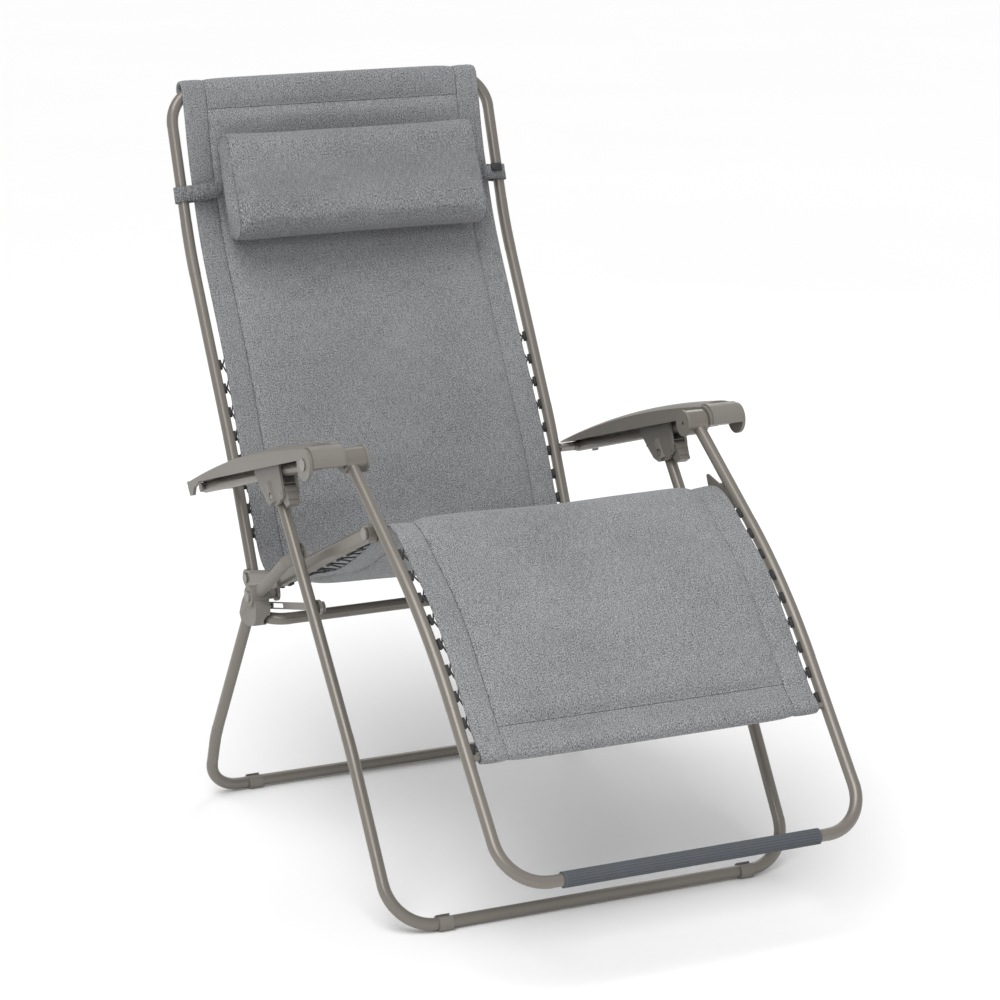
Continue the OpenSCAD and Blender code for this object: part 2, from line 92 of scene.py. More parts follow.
# ---------- shared sizes ----------
class ClothSettings(bpy.types.PropertyGroup):
    """Sizes and colours of the sling and pillow."""

    dark: FloatVectorProperty(
        name="Dark yarn", description="Colour of the darker yarn", subtype="COLOR", default=(0.050, 0.052, 0.055)
    )
    light: FloatVectorProperty(
        name="Light yarn", description="Colour of the paler yarn", subtype="COLOR", default=(0.40, 0.406, 0.416)
    )
    half_width: FloatProperty(name="Half width", description="Cloth edge from the middle", default=0.262, unit="LENGTH")
    seam: FloatProperty(name="Seam", description="Side seam from the middle", default=0.222, unit="LENGTH")
    loft: FloatProperty(name="Loft", description="Half the padding's thickness", default=0.0100, unit="LENGTH")
    sag: FloatProperty(name="Sag", description="How far the middle hangs", default=0.009, unit="LENGTH")
    stitch: FloatProperty(name="Stitch", description="Length of one stitch", default=0.0045, unit="LENGTH")
    cord: FloatProperty(name="Cord", description="Radius of the elastic cord", default=0.0016, unit="LENGTH")


class FinishSettings(bpy.types.PropertyGroup):
    """Colours of the frame's finishes."""

    paint: FloatVectorProperty(
        name="Paint", description="Colour of the powder coat", subtype="COLOR", default=(0.190, 0.174, 0.152)
    )
    plastic: FloatVectorProperty(
        name="Plastic", description="Colour of the moulded parts", subtype="COLOR", default=(0.178, 0.165, 0.147)
    )
    grip: FloatVectorProperty(
        name="Grip", description="Colour of the foot grip", subtype="COLOR", default=(0.075, 0.083, 0.095)
    )


# ---------- shader groups ----------
def new_group(name, ins, outs):
    """An empty shader group with float or vector inputs and float outputs."""
    tree = bpy.data.node_groups.new(name, "ShaderNodeTree")
    for label, kind, value in ins:
        socket = tree.interface.new_socket(label, in_out="INPUT", socket_type=kind)
        if value is not None:
            socket.default_value = value
    for label in outs:
        tree.interface.new_socket(label, in_out="OUTPUT", socket_type="NodeSocketFloat")
    return tree, tree.nodes.new("NodeGroupInput"), tree.nodes.new("NodeGroupOutput")


def math_node(tree, kind, a, b=0.0, clamp=False):
    node = tree.nodes.new("ShaderNodeMath")
    node.operation = kind
    node.use_clamp = clamp
    for socket, value in zip(node.inputs, (a, b)):
        if isinstance(value, (int, float)):
            socket.default_value = value
        else:
            tree.links.new(value, socket)
    return node.outputs[0]


def noise_node(tree, vector, scale, detail=2.0, rough=0.55):
    node = tree.nodes.new("ShaderNodeTexNoise")
    node.inputs["Detail"].default_value = detail
    node.inputs["Roughness"].default_value = rough
    tree.links.new(vector, node.inputs["Vector"])
    if isinstance(scale, (int, float)):
        node.inputs["Scale"].default_value = scale
    else:
        tree.links.new(scale, node.inputs["Scale"])
    return node.outputs["Fac"]


def stretched(tree, vector, scale):
    node = tree.nodes.new("ShaderNodeVectorMath")
    node.operation = "MULTIPLY"
    tree.links.new(vector, node.inputs[0])
    node.inputs[1].default_value = scale
    return node.outputs[0]


def contrast(tree, value, low, high):
    node = tree.nodes.new("ShaderNodeMapRange")
    node.inputs["From Min"].default_value = low
    node.inputs["From Max"].default_value = high
    tree.links.new(value, node.inputs["Value"])
    return node.outputs[0]


def weave_group():
    """Heathered plain weave: long flecks along the warp and short ones along the weft."""
    tree, gin, gout = new_group(
        "Heathered Weave",
        [("Vector", "NodeSocketVector", None), ("Fleck Contrast", "NodeSocketFloat", 1.0)],
        ["Yarn Mix", "Height"],
    )
    v = gin.outputs["Vector"]
    warp = contrast(tree, noise_node(tree, stretched(tree, v, (1.0, 0.4, 0.4)), 1050.0, 1.0), 0.34, 0.66)
    broad = contrast(tree, noise_node(tree, stretched(tree, v, (1.0, 0.10, 0.10)), 520.0, 2.0), 0.3, 0.7)
    weft = contrast(tree, noise_node(tree, stretched(tree, v, (0.45, 1.0, 1.0)), 1250.0, 1.0), 0.34, 0.66)
    cloud = contrast(tree, noise_node(tree, v, 6.0, 2.0), 0.2, 0.8)
    mixed = math_node(tree, "MULTIPLY", warp, 0.44)
    mixed = math_node(tree, "ADD", mixed, math_node(tree, "MULTIPLY", broad, 0.16))
    mixed = math_node(tree, "ADD", mixed, math_node(tree, "MULTIPLY", weft, 0.30))
    mixed = math_node(tree, "ADD", mixed, math_node(tree, "MULTIPLY", cloud, 0.10))
    centred = math_node(tree, "SUBTRACT", mixed, 0.5)
    scaled = math_node(tree, "MULTIPLY", centred, gin.outputs["Fleck Contrast"])
    tree.links.new(math_node(tree, "ADD", scaled, 0.5, clamp=True), gout.inputs["Yarn Mix"])
    ribs = tree.nodes.new("ShaderNodeTexWave")
    ribs.bands_direction = "X"
    ribs.inputs["Scale"].default_value = 160.0
    ribs.inputs["Distortion"].default_value = 0.6
    tree.links.new(v, ribs.inputs["Vector"])
    height = math_node(tree, "MULTIPLY", ribs.outputs["Fac"], 0.4)
    height = math_node(tree, "ADD", height, math_node(tree, "MULTIPLY", weft, 0.35))
    height = math_node(tree, "ADD", height, math_node(tree, "MULTIPLY", warp, 0.35))
    tree.links.new(height, gout.inputs["Height"])
    return tree


def wear_group():
    """Mask of rubbed edges, broken up by noise, with a soft mottling of the whole face."""
    tree, gin, gout = new_group(
        "Edge Wear",
        [
            ("Vector", "NodeSocketVector", None),
            ("Edge Width", "NodeSocketFloat", 0.0012),
            ("Break Up", "NodeSocketFloat", 90.0),
            ("Amount", "NodeSocketFloat", 0.6),
        ],
        ["Wear", "Mottle"],
    )
    v = gin.outputs["Vector"]
    bevel = tree.nodes.new("ShaderNodeBevel")
    bevel.samples = 2
    tree.links.new(gin.outputs["Edge Width"], bevel.inputs["Radius"])
    geometry = tree.nodes.new("ShaderNodeNewGeometry")
    dot = tree.nodes.new("ShaderNodeVectorMath")
    dot.operation = "DOT_PRODUCT"
    tree.links.new(bevel.outputs[0], dot.inputs[0])
    tree.links.new(geometry.outputs["Normal"], dot.inputs[1])
    edge = math_node(tree, "SUBTRACT", 1.0, dot.outputs["Value"], clamp=True)
    edge = math_node(tree, "MULTIPLY", edge, 3.0, clamp=True)
    speck = contrast(tree, noise_node(tree, v, gin.outputs["Break Up"], 4.0, 0.65), 0.42, 0.62)
    worn = math_node(tree, "MULTIPLY", math_node(tree, "MULTIPLY", edge, speck), gin.outputs["Amount"], clamp=True)
    tree.links.new(worn, gout.inputs["Wear"])
    tree.links.new(contrast(tree, noise_node(tree, v, 9.0, 4.0), 0.3, 0.7), gout.inputs["Mottle"])
    return tree


def grain_group():
    """Fine surface grain for powder coat and moulded plastic."""
    tree, gin, gout = new_group(
        "Surface Grain",
        [("Vector", "NodeSocketVector", None), ("Grain Scale", "NodeSocketFloat", 900.0)],
        ["Height", "Speckle"],
    )
    fine = noise_node(tree, gin.outputs["Vector"], gin.outputs["Grain Scale"], 3.0)
    tree.links.new(fine, gout.inputs["Height"])
    tree.links.new(contrast(tree, fine, 0.35, 0.65), gout.inputs["Speckle"])
    return tree


GROUPS = {}


def group(tree, name, vector, **values):
    """Places one of the shared groups in a material."""
    if name not in GROUPS:
        GROUPS[name] = {"Heathered Weave": weave_group, "Edge Wear": wear_group, "Surface Grain": grain_group}[name]()
    node = tree.nodes.new("ShaderNodeGroup")
    node.node_tree = GROUPS[name]
    tree.links.new(vector, node.inputs["Vector"])
    for label, value in values.items():
        node.inputs[label.replace("_", " ")].default_value = value
    return node


def colour_mix(tree, factor, a, b):
    node = tree.nodes.new("ShaderNodeMix")
    node.data_type = "RGBA"
    tree.links.new(factor, node.inputs[0])
    for socket, value in ((node.inputs[6], a), (node.inputs[7], b)):
        if isinstance(value, bpy.types.NodeSocket):
            tree.links.new(value, socket)
        else:
            socket.default_value = (*value, 1)
    return node.outputs[2]


def bump(tree, shader, height, distance, strength=1.0):
    node = tree.nodes.new("ShaderNodeBump")
    node.inputs["Distance"].default_value = distance
    node.inputs["Strength"].default_value = strength
    tree.links.new(height, node.inputs["Height"])
    tree.links.new(node.outputs[0], shader.inputs["Normal"])


def material(name, coords="Object"):
    mat = bpy.data.materials.new(name)
    mat.use_nodes = True
    tree = mat.node_tree
    shader = tree.nodes["Principled BSDF"]
    where = tree.nodes.new("ShaderNodeTexCoord").outputs[coords]
    return mat, tree, shader, where


def shade(colour, k):
    return tuple(c * k for c in colour)


def cloth_material(name, coords, k=1.0):
    s = bpy.context.scene.recliner_cloth
    mat, tree, shader, where = material(name, coords)
    weave = group(tree, "Heathered Weave", where, Fleck_Contrast=1.8)
    tree.links.new(
        colour_mix(tree, weave.outputs["Yarn Mix"], shade(s.dark, k), shade(s.light, k)), shader.inputs["Base Color"]
    )
    shader.inputs["Roughness"].default_value = 0.88
    shader.inputs["Specular IOR Level"].default_value = 0.22
    shader.inputs["Sheen Weight"].default_value = 0.18
    shader.inputs["Sheen Roughness"].default_value = 0.5
    bump(tree, shader, weave.outputs["Height"], 0.00035, 0.7)
    return mat


def coated_material(name, colour, rough, grain, wear, metallic=0.0):
    mat, tree, shader, where = material(name)
    worn = group(tree, "Edge Wear", where, Amount=wear)
    fine = group(tree, "Surface Grain", where, Grain_Scale=grain)
    base = colour_mix(tree, worn.outputs["Mottle"], shade(colour, 0.93), shade(colour, 1.07))
    base = colour_mix(tree, fine.outputs["Speckle"], base, shade(colour, 1.1))
    base = colour_mix(tree, worn.outputs["Wear"], base, tuple(min(1, c * 1.5 + 0.05) for c in colour))
    tree.links.new(base, shader.inputs["Base Color"])
    shader.inputs["Metallic"].default_value = metallic
    rough_range = tree.nodes.new("ShaderNodeMapRange")
    rough_range.inputs["To Min"].default_value = rough - 0.05
    rough_range.inputs["To Max"].default_value = rough + 0.07
    tree.links.new(worn.outputs["Mottle"], rough_range.inputs["Value"])
    tree.links.new(rough_range.outputs[0], shader.inputs["Roughness"])
    bump(tree, shader, fine.outputs["Height"], 0.00012, 0.5)
    return mat


def cord_material(name="braided elastic"):
    """Near-black yarn with a fine paler speckle and a low bump."""
    mat, tree, shader, where = material(name)
    fine = group(tree, "Surface Grain", where, Grain_Scale=1400.0)
    tree.links.new(
        colour_mix(tree, fine.outputs["Speckle"], (0.012, 0.012, 0.013), (0.05, 0.05, 0.052)),
        shader.inputs["Base Color"],
    )
    shader.inputs["Roughness"].default_value = 0.7
    bump(tree, shader, fine.outputs["Height"], 0.0003)
    return mat


# ---------- mesh helpers ----------
def catmull(points, step):
    """A smooth curve through the points, cut into equal steps."""
    pts = [points[0] * 2 - points[1], *points, points[-1] * 2 - points[-2]]
    fine = []
    for a, b, c, d in zip(pts, pts[1:], pts[2:], pts[3:]):
        ta = 0.0
        tb = ta + max((b - a).length, 1e-6) ** 0.5
        tc = tb + max((c - b).length, 1e-6) ** 0.5
        td = tc + max((d - c).length, 1e-6) ** 0.5
        for i in range(24):
            t = tb + (tc - tb) * i / 24
            ab = a * (tb - t) / (tb - ta) + b * (t - ta) / (tb - ta)
            bc = b * (tc - t) / (tc - tb) + c * (t - tb) / (tc - tb)
            cd = c * (td - t) / (td - tc) + d * (t - tc) / (td - tc)
            abc = ab * (tc - t) / (tc - ta) + bc * (t - ta) / (tc - ta)
            bcd = bc * (td - t) / (td - tb) + cd * (t - tb) / (td - tb)
            fine.append(abc * (tc - t) / (tc - tb) + bcd * (t - tb) / (tc - tb))
    fine.append(points[-1])
    lengths = [0.0]
    for p, q in zip(fine, fine[1:]):
        lengths.append(lengths[-1] + (q - p).length)
    count = max(2, round(lengths[-1] / step))
    out, k = [], 0
    for i in range(count + 1):
        at = lengths[-1] * i / count
        while k < len(lengths) - 2 and lengths[k + 1] < at:
            k += 1
        span = max(lengths[k + 1] - lengths[k], 1e-9)
        out.append(fine[k].lerp(fine[k + 1], (at - lengths[k]) / span))
    return out, lengths[-1]


def piece_from(name, bm, mat, smooth_angle=None):
    """Turns a bmesh into a finished piece with one material."""
    bmesh.ops.recalc_face_normals(bm, faces=bm.faces)
    mesh = bpy.data.meshes.new(name)
    for f in bm.faces:
        f.smooth = True
    if smooth_angle is not None:
        for e in bm.edges:
            e.smooth = len(e.link_faces) == 2 and e.calc_face_angle(0) < smooth_angle
    bm.to_mesh(mesh)
    bm.free()
    mesh.materials.append(mat)
    piece = bpy.data.objects.new(name, mesh)
    bpy.context.scene.collection.objects.link(piece)
    return piece


def smooth01(t):
    t = min(1.0, max(0.0, t))
    return t * t * (3 - 2 * t)


def normals_of(path):
    """Sitter's-side normal at each point of a side path."""
    out = []
    for i, p in enumerate(path):
        d = (path[min(i + 1, len(path) - 1)] - path[max(i - 1, 0)]).normalized()
        out.append(Vector((0, d.z, -d.y)))
    return out


# ---------- the sling ----------
# the cloth map is in metres: half its width, and how far the lower face lies from the upper one
MAP_HALF_WIDTH = 0.262
MAP_LOWER_FACE = 0.9


def wrap(centre, radius, start, stop, steps):
    """Points round a bar in side view, in degrees from straight back, turning over the top."""
    out = []
    for i in range(steps + 1):
        a = math.radians(start + (stop - start) * i / steps)
        out.append(Vector((0, centre.y + radius * math.cos(a), centre.z + radius * math.sin(a))))
    return out


def sling_path():
    """The cloth's side line, from behind the top bar, down the back, over the seat and knee to the hem rod."""
    back = [(934, 1062), (924, 1014), (909, 962), (873.8, 865), (806, 739), (752, 640), (714, 566)]
    fold = [(684, 507), (660, 452), (644, 418), (625, 396), (598, 386), (560, 390)]
    seat = [(520, 401), (430, 430), (330, 461), (240, 509), (185, 549)]
    knee = [(162, 564), (138, 571), (105, 561), (60, 531)]
    shin = [(10, 497), (-28, 464), (-62, 426), (-110, 368), (-142, 330)]
    return (
        wrap(TOP_BAR, 0.0118, -60, 158, 8)
        + [side(*p) for p in back + fold + seat + knee + shin]
        + wrap(HEM_ROD, 0.0078, 128, 300, 6)
    )


def sling_profile():
    """Path points, their running length and the cuts: top seam, mid seat and hem seam."""
    path, total = catmull(sling_path(), 0.0045)
    run = [total * i / (len(path) - 1) for i in range(len(path))]
    cut = min(range(len(path)), key=lambda i: (path[i] - side(430, 430)).length)
    top = min(range(len(path) // 2), key=lambda i: (path[i] - side(939, 1075)).length)
    hem = min(range(len(path) // 2, len(path)), key=lambda i: (path[i] - side(-131, 341)).length)
    return path, run, cut, run[top], run[hem]


def half_width(y):
    """Half the cloth's width: it widens a little over the leg rest."""
    s = bpy.context.scene.recliner_cloth
    low = smooth01((side(800, 0).y - y) / 0.12) * 0.0045
    return s.half_width + low + 0.0045 * smooth01((side(190, 0).y - y) / 0.07)


def across(count=58):
    """Positions across the cloth from -1 to 1, closer together round the side seams."""
    s = bpy.context.scene.recliner_cloth
    seam = s.seam / s.half_width
    out = [i / count * 2 - 1 for i in range(count + 1)]
    by_seam = (-0.03, -0.018, -0.010, -0.005, -0.002, 0.0, 0.002, 0.006, 0.015)
    for k in [seam + step for step in by_seam] + [0.975, 0.99, 0.996]:
        out += [k, -k]
    return sorted(set(round(v, 5) for v in out))


def cloth_surface(path, normals, run, i, u, top_seam, hem_seam, upper):
    """A point on the upper or lower face of the sling."""
    s = bpy.context.scene.recliner_cloth
    p, n = path[i], normals[i]
    edge = half_width(p.y)
    x = u * edge
    seam = s.seam / s.half_width
    above = smooth01((top_seam - run[i]) / 0.004)
    below = smooth01((run[i] - hem_seam) / 0.004)
    cross = min(abs(run[i] - top_seam), abs(run[i] - hem_seam))
    pad = (1 - 0.72 * max(above, below)) * smooth01(run[i] / 0.03) * (1 - math.exp(-((cross / 0.011) ** 1.5)))
    inner = min(1.0, abs(u) / seam)
    margin = min(1.0, max(0.0, (abs(u) - seam) / (1 - seam)))
    if abs(u) < seam:
        h = 0.0007 + s.loft * pad * (1 - inner**16) ** 0.55 * (0.82 + 0.18 * (1 - u * u))
        h += 0.0012 * (1 - inner**16) * (1 - math.exp(-((cross / 0.004) ** 2)))
    else:
        h = 0.0006 + 0.0026 * math.sqrt(max(0.0, 1 - abs(2 * margin - 1) ** 3.0))
    pucker = noise.noise(Vector((x * 9, run[i] * 60, 3.1))) * 0.0009 * math.exp(-((abs(abs(u) - seam) / 0.06) ** 2))
    ripple = noise.noise(Vector((x * 7, run[i] * 5, 1.7))) * 0.0026 * (1 - u**4)
    fold = (p - side(628, 404)).length
    crease = noise.noise(Vector((x * 5, run[i] * 26, 8.2))) * 0.004 * math.exp(-((fold / 0.09) ** 2)) * (1 - u**4)
    ends_flat = smooth01((run[i] - top_seam + 0.03) / 0.1) * smooth01((hem_seam + 0.02 - run[i]) / 0.1)
    droop = -s.sag * (1 - u * u) * ends_flat + (ripple + crease) * ends_flat
    sign = 1 if upper else -1
    return Vector((x, 0, 0)) + p + n * (droop + sign * max(0.0003, h + pucker))


def swept_cloth(name, mat, first, last):
    """One closed padded length of the sling between two path points."""
    path, run, _, top_seam, hem_seam = sling_profile()
    normals = normals_of(path)
    columns = across()
    bm = bmesh.new()
    uv = bm.loops.layers.uv.new("UVMap")
    where = {}

    def row(i, upper):
        out = []
        for u in columns:
            v = bm.verts.new(cloth_surface(path, normals, run, i, u, top_seam, hem_seam, upper))
            where[v] = (u * MAP_HALF_WIDTH + (0 if upper else MAP_LOWER_FACE), run[i])
            out.append(v)
        return out

    tops = [row(i, True) for i in range(first, last + 1)]
    lows = [row(i, False) for i in range(first, last + 1)]

    def skin(rows):
        for a, b in zip(rows, rows[1:]):
            for j in range(len(columns) - 1):
                bm.faces.new((a[j], a[j + 1], b[j + 1], b[j]))

    skin(tops)
    skin(lows)
    for j in (0, -1):
        for i in range(len(tops) - 1):
            bm.faces.new((tops[i][j], tops[i + 1][j], lows[i + 1][j], lows[i][j]))
    for i in (0, -1):
        for j in range(len(columns) - 1):
            bm.faces.new((tops[i][j], tops[i][j + 1], lows[i][j + 1], lows[i][j]))
    for f in bm.faces:
        for loop in f.loops:
            loop[uv].uv = where[loop.vert]
    return piece_from(name, bm, mat, math.radians(60))


class RECLINER_OT_sling(bpy.types.Operator):
    """Builds the padded sling that runs from the top bar over the seat to the hem rod"""

    bl_idname = "recliner.sling"
    bl_label = "Padded Sling"

    def execute(self, context):
        path, run, cut, _, _ = sling_profile()
        mat = cloth_material("heathered sling cloth", "UV")
        back = swept_cloth("sling_back", mat, 0, cut)
        front = swept_cloth("sling_front", mat, cut, len(path) - 1)
        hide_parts("back_panel", "back_sleeve", "seat_panel")
        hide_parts("leg_rest_panel", "leg_rest_sleeve")
        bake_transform(back)
        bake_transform(front)
        return {"FINISHED"}


# ---------- geometry-node makers ----------
def node_tree(name, inputs):
    tree = bpy.data.node_groups.new(name, "GeometryNodeTree")
    tree.interface.new_socket("Geometry", in_out="INPUT", socket_type="NodeSocketGeometry")
    for label, kind, value in inputs:
        socket = tree.interface.new_socket(label, in_out="INPUT", socket_type=kind)
        if value is not None:
            socket.default_value = value
    tree.interface.new_socket("Geometry", in_out="OUTPUT", socket_type="NodeSocketGeometry")
    return tree, tree.nodes.new("NodeGroupInput"), tree.nodes.new("NodeGroupOutput")


def finish_tree(tree, gin, gout, geometry):
    """Realize, give the material and end the tree."""
    real = tree.nodes.new("GeometryNodeRealizeInstances")
    paint = tree.nodes.new("GeometryNodeSetMaterial")
    tree.links.new(geometry, real.inputs[0])
    tree.links.new(real.outputs[0], paint.inputs["Geometry"])
    tree.links.new(gin.outputs["Material"], paint.inputs["Material"])
    tree.links.new(paint.outputs[0], gout.inputs[0])


def stitch_tree():
    """Short thread capsules laid end to end along each line."""
    tree, gin, gout = node_tree(
        "Stitch Row",
        [
            ("Pitch", "NodeSocketFloat", 0.0065),
            ("Length", "NodeSocketFloat", 0.0045),
            ("Thread", "NodeSocketFloat", 0.0005),
            ("Material", "NodeSocketMaterial", None),
        ],
    )
    link = tree.links.new
    curve = tree.nodes.new("GeometryNodeMeshToCurve")
    link(gin.outputs["Geometry"], curve.inputs[0])
    even = tree.nodes.new("GeometryNodeCurveToPoints")
    even.mode = "LENGTH"
    link(curve.outputs[0], even.inputs["Curve"])
    link(gin.outputs["Pitch"], even.inputs["Length"])
    ball = tree.nodes.new("GeometryNodeMeshUVSphere")
    ball.inputs["Segments"].default_value = 6
    ball.inputs["Rings"].default_value = 4
    ball.inputs["Radius"].default_value = 1.0
    size = tree.nodes.new("ShaderNodeCombineXYZ")
    half = tree.nodes.new("ShaderNodeMath")
    half.operation = "MULTIPLY"
    half.inputs[1].default_value = 0.5
    link(gin.outputs["Length"], half.inputs[0])
    link(gin.outputs["Thread"], size.inputs["X"])
    link(gin.outputs["Thread"], size.inputs["Y"])
    link(half.outputs[0], size.inputs["Z"])
    put = tree.nodes.new("GeometryNodeInstanceOnPoints")
    link(even.outputs["Points"], put.inputs["Points"])
    link(even.outputs["Rotation"], put.inputs["Rotation"])
    link(ball.outputs["Mesh"], put.inputs["Instance"])
    link(size.outputs[0], put.inputs["Scale"])
    finish_tree(tree, gin, gout, put.outputs[0])
    return tree


def cord_tree():
    """Round cord along each line, with a small clip on every point marked as one."""
    tree, gin, gout = node_tree(
        "Elastic Lacing",
        [
            ("Cord Radius", "NodeSocketFloat", 0.0016),
            ("Clip", "NodeSocketVector", (0.0042, 0.016, 0.0052)),
            ("Material", "NodeSocketMaterial", None),
        ],
    )
    link = tree.links.new
    curve = tree.nodes.new("GeometryNodeMeshToCurve")
    link(gin.outputs["Geometry"], curve.inputs[0])
    ring = tree.nodes.new("GeometryNodeCurvePrimitiveCircle")
    ring.inputs["Resolution"].default_value = 8
    link(gin.outputs["Cord Radius"], ring.inputs["Radius"])
    tube = tree.nodes.new("GeometryNodeCurveToMesh")
    tube.inputs["Fill Caps"].default_value = True
    link(curve.outputs[0], tube.inputs["Curve"])
    link(ring.outputs["Curve"], tube.inputs["Profile Curve"])
    marked = tree.nodes.new("GeometryNodeInputNamedAttribute")
    marked.data_type = "FLOAT"
    marked.inputs["Name"].default_value = "clip"
    points = tree.nodes.new("GeometryNodeMeshToPoints")
    link(gin.outputs["Geometry"], points.inputs["Mesh"])
    above = tree.nodes.new("ShaderNodeMath")
    above.operation = "GREATER_THAN"
    above.inputs[1].default_value = 0.5
    link(marked.outputs["Attribute"], above.inputs[0])
    link(above.outputs[0], points.inputs["Selection"])
    turn = tree.nodes.new("GeometryNodeInputNamedAttribute")
    turn.data_type = "FLOAT_VECTOR"
    turn.inputs["Name"].default_value = "turn"
    block = tree.nodes.new("GeometryNodeMeshCube")
    block.inputs["Vertices X"].default_value = 2
    link(gin.outputs["Clip"], block.inputs["Size"])
    put = tree.nodes.new("GeometryNodeInstanceOnPoints")
    link(points.outputs["Points"], put.inputs["Points"])
    link(turn.outputs["Attribute"], put.inputs["Rotation"])
    link(block.outputs["Mesh"], put.inputs["Instance"])
    both = tree.nodes.new("GeometryNodeJoinGeometry")
    link(tube.outputs[0], both.inputs[0])
    link(put.outputs[0], both.inputs[0])
    finish_tree(tree, gin, gout, both.outputs[0])
    return tree


TREES = {}


def grow(name, maker, lines, values):
    """Runs a node tree over the given lines and returns its result as a plain piece.

    A line is a list of (point, clip turn or None)."""
    mesh = bpy.data.meshes.new(name + " lines")
    points = [entry for line in lines for entry in line]
    edges, at = [], 0
    for line in lines:
        edges += [(at + i, at + i + 1) for i in range(len(line) - 1)]
        at += len(line)
    mesh.from_pydata([p for p, _ in points], edges, [])
    clip = mesh.attributes.new("clip", "FLOAT", "POINT")
    turn = mesh.attributes.new("turn", "FLOAT_VECTOR", "POINT")
    for i, (_, angle) in enumerate(points):
        clip.data[i].value = 0.0 if angle is None else 1.0
        turn.data[i].vector = (0 if angle is None else angle, 0, 0)
    seed = bpy.data.objects.new(name + " lines", mesh)
    bpy.context.scene.collection.objects.link(seed)
    if maker not in TREES:
        TREES[maker] = maker()
    tree = TREES[maker]
    modifier = seed.modifiers.new("make", "NODES")
    modifier.node_group = tree
    sockets = {s.name: s.identifier for s in tree.interface.items_tree if s.in_out == "INPUT"}
    for label, value in values.items():
        modifier[sockets[label]] = value
    bpy.context.view_layer.update()
    graph = bpy.context.evaluated_depsgraph_get()
    made = bpy.data.meshes.new_from_object(seed.evaluated_get(graph))
    bpy.data.objects.remove(seed)
    made.name = name
    if not made.materials:
        made.materials.append(values["Material"])
    for face in made.polygons:
        face.use_smooth = True
    piece = bpy.data.objects.new(name, made)
    bpy.context.scene.collection.objects.link(piece)
    if not made.polygons:
        raise RuntimeError(name + " came out empty")
    return piece


class RECLINER_OT_stitching(bpy.types.Operator):
    """Sews the side seams, the outer hems and the cross seams of the sling; the seam rows run together into one dark
    line, partly thread and partly painted groove shade
    """

    bl_idname = "recliner.stitching"
    bl_label = "Seam Stitching"

    def execute(self, context):
        s = context.scene.recliner_cloth
        path, run, cut, top_seam, hem_seam = sling_profile()
        normals = normals_of(path)
        # dark thread for the seam rows; there it is partly the real thread and partly painted shade in the seam grooves
        mat, tree, shader, where = material("seam thread and groove shade")
        grain = group(tree, "Surface Grain", where, Grain_Scale=2500.0)
        tree.links.new(
            colour_mix(tree, grain.outputs["Speckle"], (0.03, 0.03, 0.032), (0.09, 0.09, 0.092)),
            shader.inputs["Base Color"],
        )
        shader.inputs["Roughness"].default_value = 0.75
        seam = s.seam / s.half_width

        def on_cloth(i, u):
            at = cloth_surface(path, normals, run, i, u, top_seam, hem_seam, True)
            return at + normals[i] * 0.00015, None

        def along(u, first, last):
            return [on_cloth(i, u) for i in range(first, last + 1)]

        def over(v):
            i = min(range(len(path)), key=lambda k: abs(run[k] - v))
            return [on_cloth(i, seam * (k / 40 * 2 - 1)) for k in range(41)]

        # seam rows: the stitches overlap into one unbroken dark line, partly the real stitching and partly painted
        # shade in the groove beside the padding
        seam_stitch_and_shade_line = {"Pitch": s.stitch * 0.85, "Length": s.stitch, "Thread": 0.0006, "Material": mat}
        last = len(path) - 8
        pale = cloth_material("hem thread", "Object", 0.75)
        thin = {"Pitch": s.stitch * 1.5, "Length": s.stitch, "Thread": 0.0003, "Material": pale}
        for kind, u, sizes in (("seam", seam, seam_stitch_and_shade_line), ("hem", 0.955, thin)):
            back_lines = [along(k * u, 4, cut) for k in (-1, 1)]
            front_lines = [along(k * u, cut, last) for k in (-1, 1)]
            if kind == "seam":
                back_lines.append(over(top_seam))
                front_lines.append(over(hem_seam))
            back = grow("sling_back_" + kind + "_stitching", stitch_tree, back_lines, sizes)
            front = grow("sling_front_" + kind + "_stitching", stitch_tree, front_lines, sizes)
            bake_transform(back)
            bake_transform(front)
        return {"FINISHED"}


# ---------- elastic lacing ----------
def lace_lines(x_tube, stations, edge_of):
    """Elastic loops: a plug on the tube's inner side, and two runs that cross on their way to the hem."""
    lines = []
    for sign in (-1, 1):
        for centre, along, up in stations:
            tilt = math.atan2(along.z, along.y)
            plug = centre + Vector((sign * (x_tube - 0.0105), 0, 0))
            lines.append([(plug - along * 0.004, None), (plug, tilt), (plug + along * 0.004, None)])
            for way in (-1, 1):
                near = edge_of(centre, along, -way * 0.0115)
                far = edge_of(centre, along, -way * 0.018)
                inner = Vector((sign * near.x, near.y, near.z)) - up * 0.002
                under = Vector((sign * (far.x - 0.006), far.y, far.z)) - up * 0.003
                start = plug + along * (way * 0.008)
                bow = (start + inner) / 2 + along * (way * 0.0015)
                lines.append([(start, None), (bow, None), (inner, None), (under, None)])
    return lines


def polyline_points(points, gaps):
    """Points, directions and upward normals at the given distances along a side polyline."""
    out = []
    for gap in gaps:
        left = gap
        for a, b in zip(points, points[1:]):
            length = (b - a).length
            if left <= length:
                d = (b - a).normalized()
                out.append((a.lerp(b, left / length), d, Vector((0, d.z, -d.y))))
                break
            left -= length
    return out


